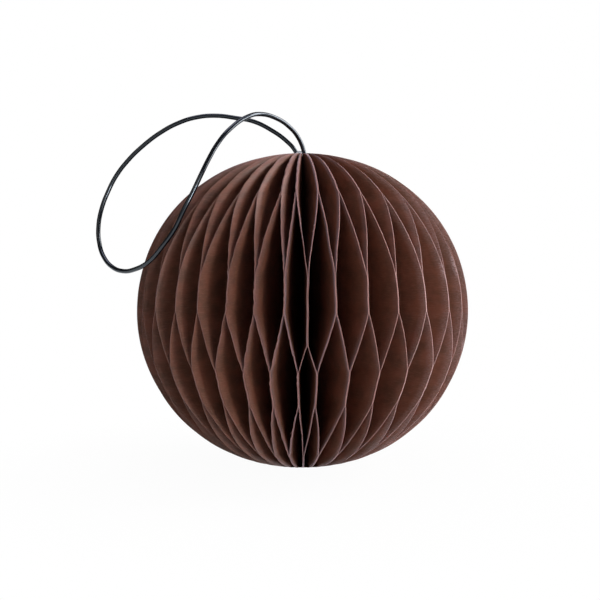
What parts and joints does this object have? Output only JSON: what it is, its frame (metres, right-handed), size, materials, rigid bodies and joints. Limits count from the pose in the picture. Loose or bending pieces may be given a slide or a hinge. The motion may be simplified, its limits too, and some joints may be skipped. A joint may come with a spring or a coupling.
{
  "type": "honeycomb paper ball",
  "caption": "Round ornament of half-oval paper leaves bound on a spine and glued in stripes, so that they open into a honeycomb ball, with a black cord loop to hang it by.",
  "frame": {"origin": "middle of the ball, half way along the spine", "axes": "+Z along the spine towards the pole that the cord leaves; -Y towards the closing seam; +X to the right of the seam"},
  "size_m": [0.0941, 0.0848, 0.0905],
  "materials": {
    "paper": "matt dyed paper, reddish brown, with paler cut edges",
    "spine_glue": "dried white glue",
    "closing_strip": "thin adhesive film",
    "cord": "black waxed round cord, slightly glossy"
  },
  "bodies": {
    "root": {"leaf_pair_01": "paper", "leaf_pair_02": "paper", "leaf_pair_03": "paper", "leaf_pair_04": "paper", "leaf_pair_05": "paper", "leaf_pair_06": "paper", "leaf_pair_07": "paper", "leaf_pair_08": "paper", "leaf_pair_09": "paper", "leaf_pair_10": "paper", "leaf_pair_11": "paper", "leaf_pair_12": "paper", "leaf_pair_13": "paper", "leaf_pair_14": "paper", "leaf_pair_15": "paper", "leaf_pair_16": "paper", "leaf_pair_17": "paper", "leaf_pair_18": "paper", "leaf_pair_19": "paper", "leaf_pair_20": "paper", "leaf_pair_21": "paper", "leaf_pair_22": "paper", "leaf_pair_23": "paper", "leaf_pair_24": "paper", "leaf_pair_25": "paper", "leaf_pair_26": "paper", "leaf_pair_27": "paper", "leaf_pair_28": "paper", "leaf_pair_29": "paper", "leaf_pair_30": "paper", "leaf_pair_31": "paper", "leaf_pair_32": "paper", "spine_glue": "spine_glue", "closing_strip": "closing_strip", "cord_loop": "cord", "cord_knot": "cord"}
  },
  "joints": []
}
